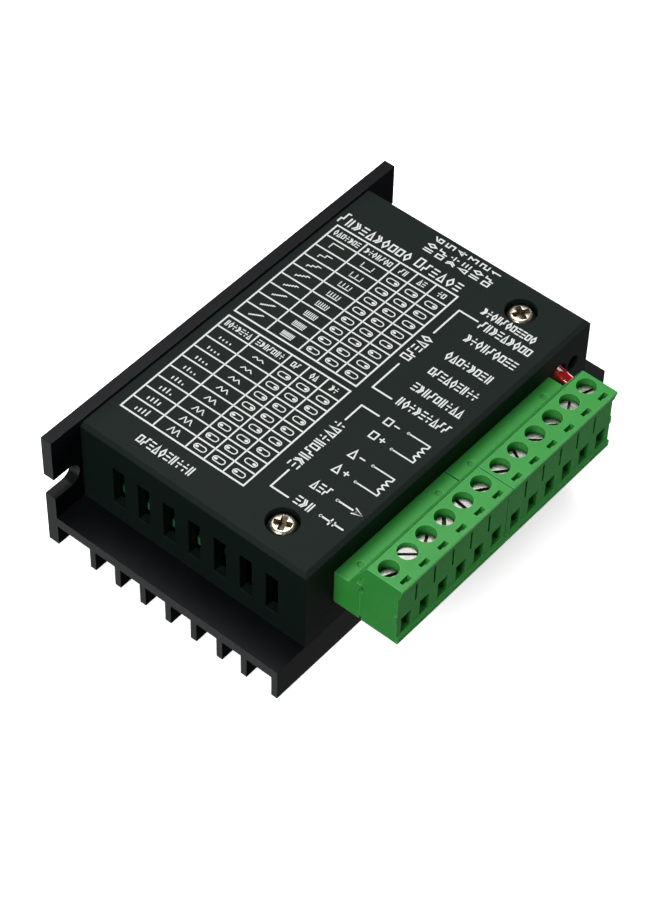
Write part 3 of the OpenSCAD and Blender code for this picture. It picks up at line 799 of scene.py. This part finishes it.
def digit(printer, place, heading, value, height):
    """A digit from 1 to 6 in straight strokes."""
    w, h = 0.5 * height, height
    shapes = {1: [(0.1, 0.8), (0.5, 1), (0.5, 0)],
              2: [(0, 1), (1, 1), (1, 0.5), (0, 0.5), (0, 0), (1, 0)],
              3: [(0, 1), (1, 1), (0.5, 0.55), (1, 0.4), (1, 0), (0, 0)],
              4: [(0.75, 0), (0.75, 1), (0, 0.35), (1, 0.35)],
              5: [(1, 1), (0, 1), (0, 0.55), (1, 0.55), (1, 0), (0, 0)],
              6: [(1, 1), (0, 0.6), (0, 0), (1, 0), (1, 0.5), (0.1, 0.5)]}
    printer.on(place, heading, [(a * w, b * h) for a, b in shapes[value]])


# Marks of the setting tables. Each shows a level from 1 to 8 in a cell, by its shape.

MARK_W = 2.5
MARK_H = 1.35
SWITCH_L = 2.6
SWITCH_H = 1.15
LEVELS = 8


def bars_mark(printer, place, level, height):
    """Four rising bars, of which more are full as the level rises."""
    for bar in range(4):
        full = min(1.0, max(0.0, level * 4 / LEVELS - bar))
        at = MARK_W * bar / 3
        tall = height * (0.18 + (0.25 + 0.19 * bar) * full)
        printer.on(place, "across", [(at, 0), (at, tall)], FINE_W * 1.3)


def peak_mark(printer, place, level, height):
    """A wave whose height rises with the level."""
    tall = height * (0.25 + 0.75 * level / LEVELS)
    wave = [(MARK_W * step / 12, (height - tall) / 2 + tall * (0.5 - 0.5 * math.cos(math.pi * step / 3)))
            for step in range(13)]
    printer.on(place, "across", wave, FINE_W)


def stairs_mark(printer, place, level, height):
    """A flight with one stair for each level."""
    points = [(0, 0)]
    for stair in range(level):
        points += [(MARK_W * stair / level, height * (stair + 1) / level),
                   (MARK_W * (stair + 1) / level, height * (stair + 1) / level)]
    printer.on(place, "across", points, FINE_W)


def comb_mark(printer, place, level, height):
    """A base line with more teeth as the level rises."""
    printer.on(place, "across", [(0, 0), (MARK_W, 0)], FINE_W)
    for tooth in range(level + 1):
        at = MARK_W * tooth / level
        printer.on(place, "across", [(at, 0.25 * height), (at, 0.9 * height)], FINE_W * 0.9)


def switch_mark(printer, place, on, height):
    """A sliding switch seen from above: a rounded frame with its knob at one end."""
    r = height / 2
    turns = [math.pi * (step / 6 - 0.5) for step in range(7)]
    right = [(SWITCH_L - r + r * math.cos(a), r + r * math.sin(a)) for a in turns]
    left = [(r - r * math.cos(a), r - r * math.sin(a)) for a in turns]
    printer.on(place, "across", [*right, *left], FINE_W, closed=True)
    knob = SWITCH_L - r if on else r
    printer.on(place, "across", [(knob - 0.12, r), (knob + 0.12, r)], 0.9 * r * MM)


COLUMNS = (23.3, 15.7, 7.9, 3.5, -1.0, -5.9)
WIDE_COLUMNS = 2


def table_rules(printer, near_x, far_x, rows):
    """The frame of a table and the lines between its cells."""
    printer.line([(near_x, COLUMNS[0]), (far_x, COLUMNS[0]), (far_x, COLUMNS[-1]), (near_x, COLUMNS[-1])],
                 closed=True)
    clear = 0.5 * LINE_W / MM + 0.16
    for row in range(1, rows):
        x = near_x + (far_x - near_x) / rows * row
        for first, second in zip(COLUMNS, COLUMNS[1:]):
            printer.line([(x, first - clear), (x, second + clear)], RULE_W)
    for y in COLUMNS[1:-1]:
        printer.line([(near_x + clear, y), (far_x - clear, y)], RULE_W)


def table_heading(printer, x, seed):
    """A short row of signs at the head of each column."""
    margin = 1.3
    narrow_l = 1.9
    for number, (first, second) in enumerate(zip(COLUMNS, COLUMNS[1:])):
        room = first - second
        used = room - margin if number < WIDE_COLUMNS else narrow_l
        place = (x, first - (room - used) / 2 - 0.15)
        signs(printer, place, "across", used, MARK_H, seed + number, FINE_W)


def table(printer, near_x, far_x, marks, seed):
    """A ruled table of settings, with its heading row at far_x and a row for each level below it."""
    rows = LEVELS + 1
    pitch = (far_x - near_x) / rows
    switch_columns = COLUMNS[WIDE_COLUMNS:]
    table_rules(printer, near_x, far_x, rows)
    for row in range(LEVELS):
        x = near_x + pitch * (row + 0.5) - MARK_H / 2
        level = LEVELS - row
        for number, mark in enumerate(marks):
            middle = (COLUMNS[number] + COLUMNS[number + 1]) / 2
            mark(printer, (x, middle + MARK_W / 2), level, MARK_H)
        for bit, (first, second) in enumerate(zip(switch_columns, switch_columns[1:])):
            on = (level - 1) >> (2 - bit) & 1 == 0
            switch_mark(printer, (x + 0.1, (first + second) / 2 + SWITCH_L / 2), on, SWITCH_H)
    table_heading(printer, near_x + pitch * (LEVELS + 0.5) - MARK_H / 2, seed)


def bracket(printer, y, near, far, foot, word, seed):
    """A pair of square arms, each from its corner to its tip along X, with a word between them."""
    for corner, tip in (near, far):
        printer.line([(corner, y - foot), (corner, y), (tip, y)])
    signs(printer, (word[0], y - 1.05), "along", word[1] - word[0], TITLE_H, seed, first=1.15)


def brackets(printer):
    """Brackets over the two terminal groups."""
    bracket(printer, -9.6, (-29.2, -24.3), (-4.0, -8.6), 4.0, (-23.2, -9.2), 1)
    bracket(printer, -8.3, (0.7, 8.3), (26.2, 18.6), 4.4, (10.1, 17.6), 2)


# Names and symbols of the power terminals, from the vented end on: two for the supply, four for two windings.

SUPPLY_X = (-28.5, -23.8)
SUPPLY_Y = -14.9
SUPPLY_L = 4.1
COIL_END_X = (-18.4, -13.9, -8.2, -4.0)
COIL_END_Y = (-15.3, -15.3, -15.2, -15.2)
COIL_LEGS = ((-18.8, -13.9), (-8.7, -3.8))
COIL_TOP, COIL_FOOT = -20.3, -25.2
BATTERY_X, GROUND_X = -28.7, -24.1
SYMBOL_TOP = -20.6
DOT_R = 0.32


def coil_end(printer, x, top, sign, plus):
    """The name of a winding's end: a shape with a minus or plus after it."""
    for points, closed in sign(1.3, TEXT_H):
        printer.on((x - TEXT_H / 2, top), "across", points, closed=closed)
    printer.on((x, top - 2.1), "across", [(0, 0), (1.0, 0)])
    if plus:
        printer.on((x, top - 2.1), "across", [(0.5, -0.5), (0.5, -0.22)])
        printer.on((x, top - 2.1), "across", [(0.5, 0.22), (0.5, 0.5)])


def battery(printer):
    """A battery symbol: a wire broken by a long and a short plate."""
    long_y, short_y, foot_y = -22.8, -23.6, -25.6
    printer.line([(BATTERY_X, SYMBOL_TOP), (BATTERY_X, long_y)])
    printer.line([(BATTERY_X, short_y), (BATTERY_X, foot_y)])
    printer.dot((BATTERY_X, SYMBOL_TOP), DOT_R)
    for y, reach in ((long_y, 0.75), (short_y, 0.45)):
        printer.line([(BATTERY_X - reach, y), (BATTERY_X + reach, y)], GLYPH_W)


def ground(printer):
    """A ground symbol: a wire with a pointed triangle at its foot and two narrower ones inside it."""
    wire_y, wide_y, tip_y = -24.3, -24.4, -25.9
    printer.dot((GROUND_X, SYMBOL_TOP), DOT_R)
    printer.line([(GROUND_X, SYMBOL_TOP), (GROUND_X, wire_y)])
    for reach in (0.62, 0.34, 0.12):
        printer.line([(GROUND_X - reach, wide_y), (GROUND_X, tip_y), (GROUND_X + reach, wide_y)], closed=True)


def power_signs(printer):
    """Signs and symbols of the power terminals, each in line with its screw."""
    for number, x in enumerate(SUPPLY_X):
        signs(printer, (x - TEXT_H / 2, SUPPLY_Y), "across", SUPPLY_L, TEXT_H, 5 * number + 1)
    shapes = (sign_cone, sign_cone, sign_frame, sign_frame)
    for number, (x, top) in enumerate(zip(COIL_END_X, COIL_END_Y)):
        coil_end(printer, x, top, shapes[number], plus=number % 2 == 0)
    battery(printer)
    ground(printer)
    for first, second in COIL_LEGS:
        coil(printer, first, second, COIL_TOP, COIL_FOOT)


def coil(printer, first, second, top, foot):
    """A motor winding: two legs with a row of small loops between them."""
    turns = 3
    start, end = first + 0.7, second - 0.7
    points = [(first, top), (first, foot), (start, foot)]
    for turn in range(turns):
        for step in range(1, 6):
            share = (turn + step / 5) / turns
            points.append((start + (end - start) * share, foot + 0.85 * math.sin(math.pi * step / 5)))
    printer.line([*points, (second, foot), (second, top)], GLYPH_W)
    for x in (first, second):
        printer.dot((x, top), 0.3)


def switch_list(printer):
    """The setting switch's ways, numbered from the terminal side."""
    height = 1.8
    row_pitch = 2.75
    sign_x, sign_l, digit_x = 34.4, 2.9, 37.9
    for way in range(WAYS):
        y = 6.0 - row_pitch * way - height / 2
        signs(printer, (sign_x, y), "along", sign_l, height, 2 * way)
        digit(printer, (digit_x, y), "along", WAYS - way, height)


SIGNAL_WORDS = ((1.3, -13.9, -25.8), (5.9, -13.7, -25.3), (10.9, -13.7, -24.8),
                (15.9, -13.6, -24.2), (21.6, -13.6, -25.5), (26.0, -13.6, -25.5))
TITLE_X = 29.8
TITLE_WORDS = ((24.1, 17.5, 5), (5.6, 11.3, 2))
LAMP_WORD = (28.2, -11.8)
LAMP_WORD_L, LAMP_WORD_H = 12.4, 1.7
VENT_WORD = (-35.9 - TEXT_H / 2, 15.6)
VENT_WORD_L = 13.2
CURRENT_TABLE_X = (-32.3, -2.7)
STEP_TABLE_X = (-1.1, 28.8)


def signal_signs(printer):
    """A word for each signal terminal, in line with its screw, given as its X and its two ends."""
    for number, (x, top, foot) in enumerate(SIGNAL_WORDS):
        signs(printer, (x - TEXT_H / 2, top), "across", top - foot, TEXT_H, number)


def titles(printer):
    """The two words of the title, the lamps' word and the word at the vented end."""
    for start, length, seed in TITLE_WORDS:
        signs(printer, (TITLE_X, start), "across", length, TITLE_H, seed, TITLE_W, first=1.35, spread=0.84)
    signs(printer, LAMP_WORD, "across", LAMP_WORD_L, LAMP_WORD_H, 4)
    signs(printer, VENT_WORD, "across", VENT_WORD_L, TEXT_H, 2)


def top_print():
    """Everything printed on the cover's top: plain signs and marks in the place of words."""
    printer = Printer(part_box("cover")[1].z)
    table(printer, *CURRENT_TABLE_X, (bars_mark, peak_mark), 0)
    table(printer, *STEP_TABLE_X, (stairs_mark, comb_mark), 3)
    brackets(printer)
    power_signs(printer)
    signal_signs(printer)
    titles(printer)
    switch_list(printer)
    add_object("cover_print", mesh_from(printer.work, "cover_print"), "root", [INK])


# ---------------------------------------------------------------- stage

def look_from(azimuth, elevation, roll, distance, target, shift):
    """The camera's place and turn. Shift is its sideways and upward offset from the line to the target."""
    a, e, r = map(math.radians, (azimuth, elevation, roll))
    back = Vector((math.sin(a) * math.cos(e), -math.cos(a) * math.cos(e), math.sin(e)))
    right = Vector((0, 0, 1)).cross(back).normalized()
    up = back.cross(right)
    right, up = (right * math.cos(r) + up * math.sin(r), up * math.cos(r) - right * math.sin(r))
    place = target + back * distance + right * shift[0] + up * shift[1]
    turn = Matrix((right, up, back)).transposed().to_4x4()
    return Matrix.Translation(place) @ turn


def camera():
    data = bpy.data.cameras.new("camera")
    data.sensor_width = 36
    data.lens = 111.5
    data.clip_start, data.clip_end = 0.01, 20
    made = scene_object("camera", data)
    made.matrix_world = look_from(azimuth=-50.8, elevation=48.9, roll=1.6, distance=0.5175,
                                  target=Vector((0, 0.0075, 0.016)), shift=(-0.0007, -0.0076))
    bpy.context.scene.camera = made


def softbox(name, place, aim_z, size, power):
    """A white rectangular light that faces the point aim_z above the origin."""
    data = bpy.data.lights.new(name, "AREA")
    data.shape = "RECTANGLE"
    data.size, data.size_y = size
    data.energy = power
    made = scene_object(name, data)
    made.location = place
    made.rotation_mode = "QUATERNION"
    made.rotation_quaternion = (Vector((0, 0, aim_z)) - Vector(place)).to_track_quat("-Z", "Y")


FLOOR_DROP = 0.02 * MM
CARD_DROP = 0.01 * MM


def glowing(piece, name, colour, glow, strength, roughness, specular):
    """Gives a stage piece a material that shines evenly."""
    surface = Surface(name, colour, roughness, specular=specular)
    surface.set("Emission Color", (*glow, 1.0))
    surface.set("Emission Strength", strength)
    piece.data.materials.append(surface.material)


def floor():
    """A plain white floor that takes the object's shadow. The object's colour and gloss don't see it."""
    work = bmesh.new()
    bmesh.ops.create_circle(work, cap_ends=True, radius=12.0, segments=96)
    made = scene_object("floor", mesh_from(work, "floor"))
    made.data.transform(Matrix.Translation((0, 0, CAD_LOW.z - FLOOR_DROP)))
    glowing(made, "white_paper", (0.93, 0.93, 0.925), (1.0, 1.0, 0.995), 0.55, roughness=0.85, specular=0.1)
    made.visible_diffuse = False
    made.visible_glossy = False


def gleam_card():
    """A faint glow at table height in front, seen only as the sheen on the faces that look that way."""
    left, right = -50 * MM, 200 * MM
    near, far = -200 * MM, -20.5 * MM
    work = bmesh.new()
    corners = ((left, near), (right, near), (right, far), (left, far))
    work.faces.new([work.verts.new((x, y, CAD_LOW.z - CARD_DROP)) for x, y in corners])
    made = scene_object("gleam_card", mesh_from(work, "gleam_card"))
    glowing(made, "gleam", (0.0, 0.0, 0.0), (1.0, 1.0, 1.0), 0.26, roughness=1.0, specular=0.0)
    made.visible_camera = False
    made.visible_diffuse = False
    made.visible_shadow = False


def studio():
    """A key light above and behind, four lower lights round the object, and a faint even sky."""
    scene = bpy.context.scene
    scene.view_settings.view_transform = "Standard"
    world = bpy.data.worlds.new("studio")
    scene.world = world
    world.use_nodes = True
    world.node_tree.nodes["Background"].inputs["Color"].default_value = (0.93, 0.95, 1.0, 1)
    world.node_tree.nodes["Background"].inputs["Strength"].default_value = 0.05
    softbox("key", (0.20, 0.27, 0.86), aim_z=0, size=(0.45, 0.45), power=6.9)
    softbox("left_fill", (-0.72, -0.05, 0.48), aim_z=0.01, size=(0.45, 0.45), power=7.6)
    softbox("front_fill", (0.45, -0.75, 0.30), aim_z=0.01, size=(0.5, 0.4), power=3.4)
    softbox("back_fill", (0.2, 0.95, 0.16), aim_z=0.01, size=(0.7, 0.4), power=6.0)
    softbox("right_fill", (0.95, 0.1, 0.16), aim_z=0.01, size=(0.5, 0.4), power=3.0)


camera()
finish_all()
cover_screws()
lamp("alarm_led", "lamp_red", ALARM_DROOP)
lamp("power_led", "lamp_green", 0.0)
bulk_capacitors()
top_print()
studio()
floor()
gleam_card()
